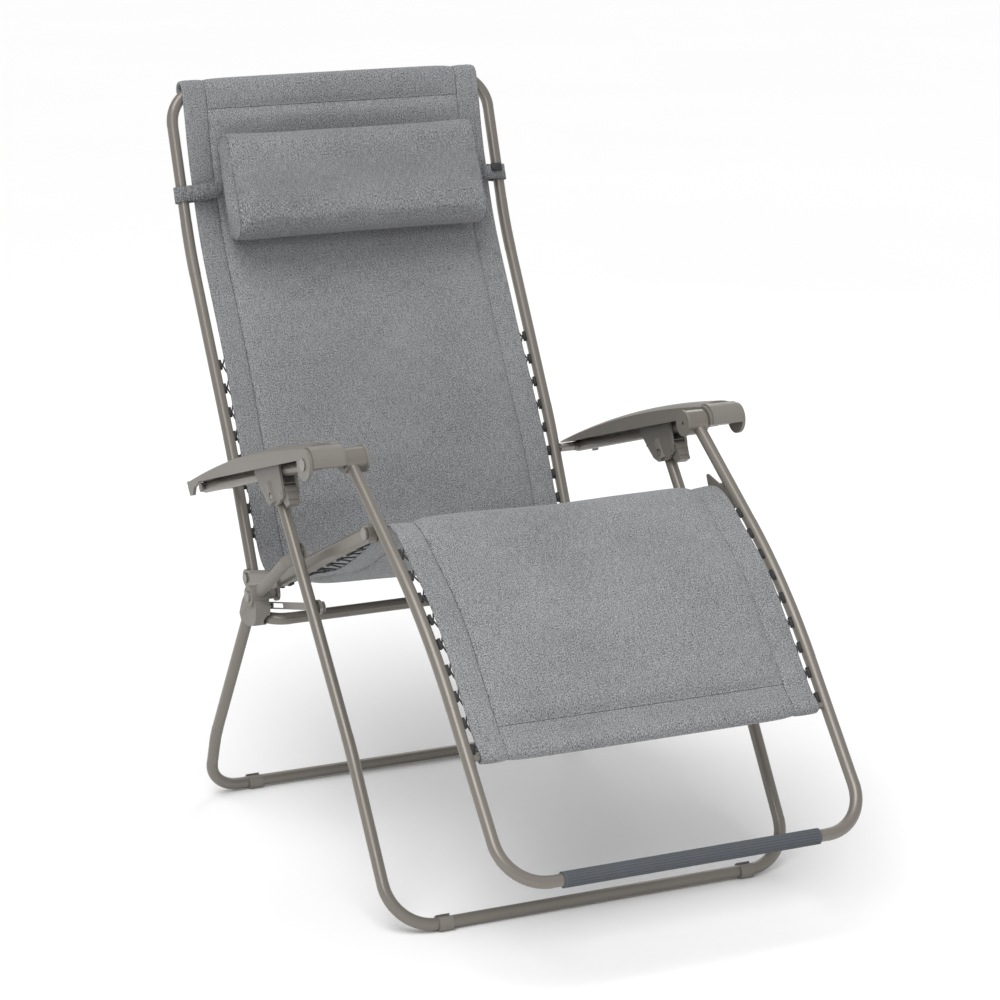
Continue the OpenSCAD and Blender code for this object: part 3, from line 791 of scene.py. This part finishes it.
class RECLINER_OT_lacing(bpy.types.Operator):
    """Laces the cloth to the side tubes with elastic cord and clips"""

    bl_idname = "recliner.lacing"
    bl_label = "Elastic Lacing"

    def execute(self, context):
        s = context.scene.recliner_cloth
        stretched_thin = 0.8
        values = {"Cord Radius": s.cord * stretched_thin, "Material": cord_material()}
        path = sling_profile()[0]

        def hem_near(centre, along, shift):
            target = centre + along * shift
            p = min(path[8:-8], key=lambda q: (q - target).length)
            return Vector((half_width(p.y) - 0.001, p.y, p.z))

        back = polyline_points(
            [side(873.8, 860), side(708.8, 560), side(622, 367)], [0.196 + 0.0395 * k for k in range(8)]
        )
        leg = polyline_points(
            [side(98, 555), side(-31.8, 461.3), side(-157, 310)], [0.020 + 0.0405 * k for k in range(9)]
        )
        for name, x, stations, body, node in (
            ("back_lacing_cord", BACK_TUBE_X, back, "back", "back_lacing"),
            ("leg_rest_lacing_cord", REST_TUBE_X, leg, "leg_rest", "leg_rest_lacing"),
        ):
            piece = grow(name, cord_tree, lace_lines(x, stations, hem_near), values)
            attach(piece, body)
            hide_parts(node)
        under_rail = [side(160, 543), side(487, 396), side(610, 369)]
        lines = []
        for centre, along, _ in polyline_points(under_rail, [0.05 + 0.0405 * k for k in range(10)]):
            for sign in (-1, 1):
                for shift in (-0.012, 0.012):
                    hem = hem_near(centre + Vector((0, 0, 0.012)), along, shift)
                    inner = Vector((sign * (hem.x - 0.001), hem.y, hem.z))
                    outer = centre + along * (shift * 0.35) + Vector((sign * 0.2865, 0, 0.002))
                    lines.append([(inner, None), ((inner + outer) / 2, None), (outer, None)])
                tilt = math.atan2(along.z, along.y)
                plug = centre + Vector((sign * 0.2862, 0, 0.0015))
                lines.append([(plug - along * 0.003, None), (plug, tilt), (plug + along * 0.003, None)])
        piece = grow("seat_lacing_cord", cord_tree, lines, values)
        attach(piece, "seat")
        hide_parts("seat_lacing")
        return {"FINISHED"}


# ---------- the pillow ----------
LEAN = math.atan2(956.8 - 873.8, 1104 - 860)
ALONG_BACK = Vector((0, math.sin(LEAN), math.cos(LEAN)))
OFF_BACK = Vector((0, -math.cos(LEAN), math.sin(LEAN)))
PILLOW_MIDDLE = (0.0425, 0.090)
PILLOW_HALF = 0.222
# the pillow's back stays this far off the back frame, so that it clears the sling as it slides
PILLOW_CLEAR = 0.0165


def on_back(x, out, up):
    """A point on the upper back: x across, out from the back's front, up along it, in metres."""
    return side(873.8, 860) + ALONG_BACK * up + OFF_BACK * out + Vector((x, 0, 0))


def pillow_outline(t):
    """The pillow's end outline as (out, up), starting low at the back."""
    low, high = Vector((0.0455, 0.028)), Vector((0.040, 0.152))
    r_low, r_high = 0.0345, 0.0285
    a = t * 2 * math.pi
    c, s = math.cos(a), math.sin(a)
    k = smooth01(s * 1.6 + 0.5)
    centre = low.lerp(high, k)
    radius = r_low + (r_high - r_low) * k

    def squared(v):
        return math.copysign(abs(v) ** 0.86, v)

    return centre + Vector((squared(c), squared(s))) * radius


def thicken(piece, thickness):
    thick = piece.modifiers.new("thick", "SOLIDIFY")
    thick.thickness = thickness
    thick.offset = 0


def puffed(piece, cap):
    """Blows the pillow up as sewn cloth for a moment, and caps how far it swells."""
    remesh = piece.modifiers.new("remesh", "REMESH")
    remesh.mode = "VOXEL"
    remesh.voxel_size = 0.006
    bpy.context.view_layer.update()
    graph = bpy.context.evaluated_depsgraph_get()
    mesh = bpy.data.meshes.new_from_object(piece.evaluated_get(graph))
    piece.modifiers.clear()
    old = piece.data
    piece.data = mesh
    bpy.data.meshes.remove(old)
    rest = [v.co.copy() for v in mesh.vertices]
    cloth = piece.modifiers.new("cloth", "CLOTH")
    cloth.settings.use_pressure = True
    cloth.settings.uniform_pressure_force = 4
    cloth.settings.effector_weights.gravity = 0
    cloth.settings.quality = 5
    cloth.point_cache.frame_end = 20
    scene = bpy.context.scene
    for f in range(1, 21):
        scene.frame_set(f)
    graph = bpy.context.evaluated_depsgraph_get()
    swollen = bpy.data.meshes.new_from_object(piece.evaluated_get(graph))
    piece.modifiers.clear()
    for v, r, n in zip(swollen.vertices, rest, mesh.vertices):
        move = v.co - r
        if move.length > cap:
            v.co = r + move.normalized() * cap
    piece.data = swollen
    bpy.data.meshes.remove(mesh)
    scene.frame_set(1)


class RECLINER_OT_pillow(bpy.types.Operator):
    """Builds the head pillow with its piped ends, tube straps and blank tab"""

    bl_idname = "recliner.pillow"
    bl_label = "Head Pillow"

    def execute(self, context):
        mat = cloth_material("heathered pillow cloth", "UV", 0.92)
        body = self.sewn_case(mat)
        puffed(body, 0.006)
        self.crumple(body.data)
        sub = body.modifiers.new("smooth", "SUBSURF")
        sub.levels = sub.render_levels = 1
        for f in body.data.polygons:
            f.use_smooth = True
        body.data.materials.clear()
        body.data.materials.append(mat)
        self.piping(cloth_material("pillow seam cloth", "Object", 0.7), body)
        self.lay_cloth(body)
        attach(body, "pillow")
        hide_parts("pillow")
        self.straps()
        return {"FINISHED"}

    def sewn_case(self, mat):
        """The pillow before it swells: rings of its end outline, a little smaller than it ends up."""
        bm = bmesh.new()
        count = 64
        middle = Vector(PILLOW_MIDDLE)
        rings = []
        for step in range(31):
            u = step / 30 * 2 - 1
            tuck = 1 - 0.03 * abs(u) ** 9
            ring = []
            for k in range(count):
                o = middle + (pillow_outline(k / count) - middle) * tuck * 0.97
                ring.append(bm.verts.new(on_back(u * PILLOW_HALF, o.x, o.y)))
            rings.append(ring)
        for a, b in zip(rings, rings[1:]):
            for k in range(count):
                bm.faces.new((a[k], a[(k + 1) % count], b[(k + 1) % count], b[k]))
        for ring in (rings[0], rings[-1]):
            bm.faces.new(ring)
        return piece_from("pillow_body", bm, mat)

    def crumple(self, mesh):
        """Small wrinkles, stronger at the ends, with the pillow's back kept clear of the sling."""
        for v in mesh.vertices:
            u = abs(v.co.x) / PILLOW_HALF
            wrinkle = noise.noise(Vector((v.co.x * 14, v.co.y * 9, v.co.z * 30))) * 0.0016
            wrinkle += noise.noise(Vector((v.co.x * 40, v.co.z * 12, 4.0))) * 0.0011 * smooth01((u - 0.7) / 0.3)
            v.co += OFF_BACK * wrinkle
            out = (v.co - on_back(0, 0, 0)).dot(OFF_BACK)
            if out < PILLOW_CLEAR:
                v.co += OFF_BACK * (PILLOW_CLEAR - out)

    def lay_cloth(self, body):
        """Maps the cloth round the pillow, and flat on its end panels."""
        mesh = body.data
        layer = mesh.uv_layers.new(name="UVMap")
        middle = on_back(0, *PILLOW_MIDDLE)
        for face in mesh.polygons:
            flat = abs(face.normal.x) > 0.75
            rel = face.center - middle
            turn = math.atan2(rel.dot(ALONG_BACK), rel.dot(OFF_BACK))
            for index in face.loop_indices:
                rel = mesh.vertices[mesh.loops[index].vertex_index].co - middle
                out, up = rel.dot(OFF_BACK), rel.dot(ALONG_BACK)
                a = math.atan2(up, out)
                a += 2 * math.pi * round((turn - a) / (2 * math.pi))
                layer.data[index].uv = (out, up) if flat else (rel.x, a * 0.062)

    def piping(self, mat, body):
        """The stitched ridge round each end panel, laid on the pillow's own surface."""
        tree = BVHTree.FromObject(body, bpy.context.evaluated_depsgraph_get())
        bm = bmesh.new()
        count, sides = 96, 6
        centre = Vector(PILLOW_MIDDLE)
        for sign in (-1, 1):
            rings = []
            middle = on_back(sign * 0.219, centre.x, centre.y)
            for k in range(count):
                o = centre + (pillow_outline(k / count) - centre) * 1.06
                at = tree.find_nearest(on_back(sign * 0.228, o.x, o.y))[0]
                out = (at - middle).normalized()
                ring = []
                for j in range(sides):
                    a = 2 * math.pi * j / sides
                    spoke = out * math.cos(a) + Vector((sign, 0, 0)) * math.sin(a)
                    ring.append(bm.verts.new(at + spoke * 0.0013))
                rings.append(ring)
            for k in range(count):
                a, b = rings[k], rings[(k + 1) % count]
                for j in range(sides):
                    bm.faces.new((a[j], a[(j + 1) % sides], b[(j + 1) % sides], b[j]))
        piece = piece_from("pillow_piping", bm, mat)
        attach(piece, "pillow")

    def straps(self):
        """Webbing that wraps each back tube and runs to the pillow's end, and the blank tab on the right one."""
        mat = cloth_material("strap webbing", "Object", 0.8)
        bm = bmesh.new()
        up = 0.088
        for sign in (-1, 1):
            line = [(sign * PILLOW_HALF, 0.026)]
            for k in range(15):
                a = math.radians(100 - 245 * k / 14)
                line.append((sign * (BACK_TUBE_X + 0.0125 * math.cos(a)), 0.0125 * math.sin(a)))
            line.append((sign * 0.232, 0.008))
            last = None
            for x, out in line:
                pair = [bm.verts.new(on_back(x, out, up + h)) for h in (-0.0125, 0.0125)]
                if last:
                    bm.faces.new((last[0], pair[0], pair[1], last[1]))
                last = pair
        piece = piece_from("pillow_webbing", bm, mat)
        thicken(piece, 0.0014)
        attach(piece, "pillow")
        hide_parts("pillow_straps")
        bm = bmesh.new()
        for x in (0.262, 0.282):
            for h in (0.0, 0.0135):
                bm.verts.new(on_back(x, 0.0152 if x > 0.27 else 0.0190, up + h))
        v = list(bm.verts)
        bm.faces.new((v[0], v[1], v[3], v[2]))
        tab = piece_from("blank_cloth_tab", bm, cord_material("blank tab cloth"))
        thicken(tab, 0.0012)
        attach(tab, "pillow")
        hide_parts("blank_tab")


# ---------- finishes on the fixed frame ----------
class RECLINER_OT_finishes(bpy.types.Operator):
    """Gives every frame, bracket, pin and grip its paint, plastic, metal or rubber"""

    bl_idname = "recliner.finishes"
    bl_label = "Frame Finishes"

    def execute(self, context):
        s = context.scene.recliner_finish
        finishes = [
            (PAINTED, coated_material("taupe powder coat", s.paint, 0.33, 1100.0, 0.5, 0.35)),
            (MOULDED, coated_material("taupe moulded nylon", s.plastic, 0.44, 700.0, 0.5)),
            (ARMS, coated_material("taupe armrest plastic", s.plastic, 0.40, 520.0, 0.35)),
            (METAL, coated_material("dulled steel", (0.30, 0.285, 0.27), 0.42, 1500.0, 0.5, 0.75)),
            (RUBBER, coated_material("black cap rubber", (0.035, 0.035, 0.036), 0.65, 900.0, 0.3)),
            (FOAM, coated_material("blue grey foam grip", s.grip, 0.78, 1300.0, 0.2)),
        ]
        for names, mat in finishes:
            for name in names:
                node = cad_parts[name]
                if not node.material_slots:
                    raise RuntimeError(name + " has no material slot")
                for slot in node.material_slots:
                    slot.link = "OBJECT"
                    slot.material = mat
        return {"FINISHED"}


# ---------- stage ----------
def area_light(name, at, size, power, aim):
    data = bpy.data.lights.new(name, "AREA")
    data.shape = "DISK"
    data.size = size
    data.energy = power
    light = bpy.data.objects.new(name, data)
    light.location = at
    light.rotation_euler = (Vector(aim) - Vector(at)).to_track_quat("-Z", "Y").to_euler()
    bpy.context.scene.collection.objects.link(light)


class RECLINER_OT_stage(bpy.types.Operator):
    """Sets out the pale floor, the soft lights and the camera"""

    bl_idname = "recliner.stage"
    bl_label = "Studio Stage"

    def execute(self, context):
        scene = context.scene
        bm = bmesh.new()
        bmesh.ops.create_grid(bm, x_segments=2, y_segments=2, size=30)
        mat, tree, shader, where = material("pale studio floor")
        soft = noise_node(tree, where, 0.8)
        tree.links.new(colour_mix(tree, soft, (0.93, 0.93, 0.93), (0.96, 0.96, 0.96)), shader.inputs["Base Color"])
        shader.inputs["Roughness"].default_value = 0.9
        floor = piece_from("studio_floor", bm, mat)
        world = bpy.data.worlds.new("studio")
        world.use_nodes = True
        world.node_tree.nodes["Background"].inputs[0].default_value = (1, 1, 1, 1)
        tree = world.node_tree
        seen = tree.nodes.new("ShaderNodeLightPath")
        level = tree.nodes.new("ShaderNodeMapRange")
        level.inputs["To Min"].default_value = 0.62
        level.inputs["To Max"].default_value = 1.0
        tree.links.new(seen.outputs["Is Camera Ray"], level.inputs["Value"])
        tree.links.new(level.outputs[0], tree.nodes["Background"].inputs[1])
        scene.world = world
        scene.view_settings.view_transform = "Standard"
        sun = bpy.data.lights.new("overhead sun", "SUN")
        sun.energy = 1.55
        sun.angle = math.radians(38)
        lamp = bpy.data.objects.new("overhead sun", sun)
        lamp.rotation_euler = Vector((0.34, 0.30, -0.90)).to_track_quat("-Z", "Y").to_euler()
        scene.collection.objects.link(lamp)
        area_light("key", (-2.0, -2.6, 2.6), 1.4, 26, (0, 0, 0.6))
        area_light("rim", (1.8, 2.6, 2.6), 1.4, 14, (0, 0.2, 0.6))
        data = bpy.data.cameras.new("camera")
        camera = bpy.data.objects.new("camera", data)
        scene.collection.objects.link(camera)
        look = Vector((0.4246, 0.8694, -0.2528)).normalized()
        right = look.cross(Vector((0, 0, 1))).normalized()
        up = right.cross(look)
        camera.matrix_world = Matrix(
            (
                (right.x, up.x, -look.x, -2.2331),
                (right.y, up.y, -look.y, -4.5116),
                (right.z, up.z, -look.z, 1.7794),
                (0, 0, 0, 1),
            )
        )
        data.sensor_width = 36
        data.lens = 122.8
        data.shift_x = 0.0218
        data.shift_y = 0.0457
        data.clip_end = 100
        scene.camera = camera
        return {"FINISHED"}


class RECLINER_PT_panel(bpy.types.Panel):
    """Lists the recliner's makers in the sidebar"""

    bl_idname = "RECLINER_PT_panel"
    bl_label = "Zero Gravity Recliner"
    bl_space_type = "VIEW_3D"
    bl_region_type = "UI"
    bl_category = "Recliner"

    def draw(self, context):
        for settings in (context.scene.recliner_cloth, context.scene.recliner_finish):
            box = self.layout.box()
            for key in settings.__annotations__:
                box.prop(settings, key)
        for maker in MAKERS:
            self.layout.operator(maker.bl_idname)


MAKERS = (
    RECLINER_OT_stage,
    RECLINER_OT_finishes,
    RECLINER_OT_sling,
    RECLINER_OT_stitching,
    RECLINER_OT_lacing,
    RECLINER_OT_pillow,
)
CLASSES = (ClothSettings, FinishSettings, *MAKERS, RECLINER_PT_panel)


def register():
    for cls in CLASSES:
        bpy.utils.register_class(cls)
    bpy.types.Scene.recliner_cloth = PointerProperty(type=ClothSettings)
    bpy.types.Scene.recliner_finish = PointerProperty(type=FinishSettings)


def unregister():
    del bpy.types.Scene.recliner_finish
    del bpy.types.Scene.recliner_cloth
    for cls in reversed(CLASSES):
        bpy.utils.unregister_class(cls)


def main():
    register()
    bpy.ops.recliner.stage()
    bpy.ops.recliner.finishes()
    bpy.ops.recliner.sling()
    bpy.ops.recliner.stitching()
    bpy.ops.recliner.lacing()
    bpy.ops.recliner.pillow()


if __name__ == "__main__":
    main()
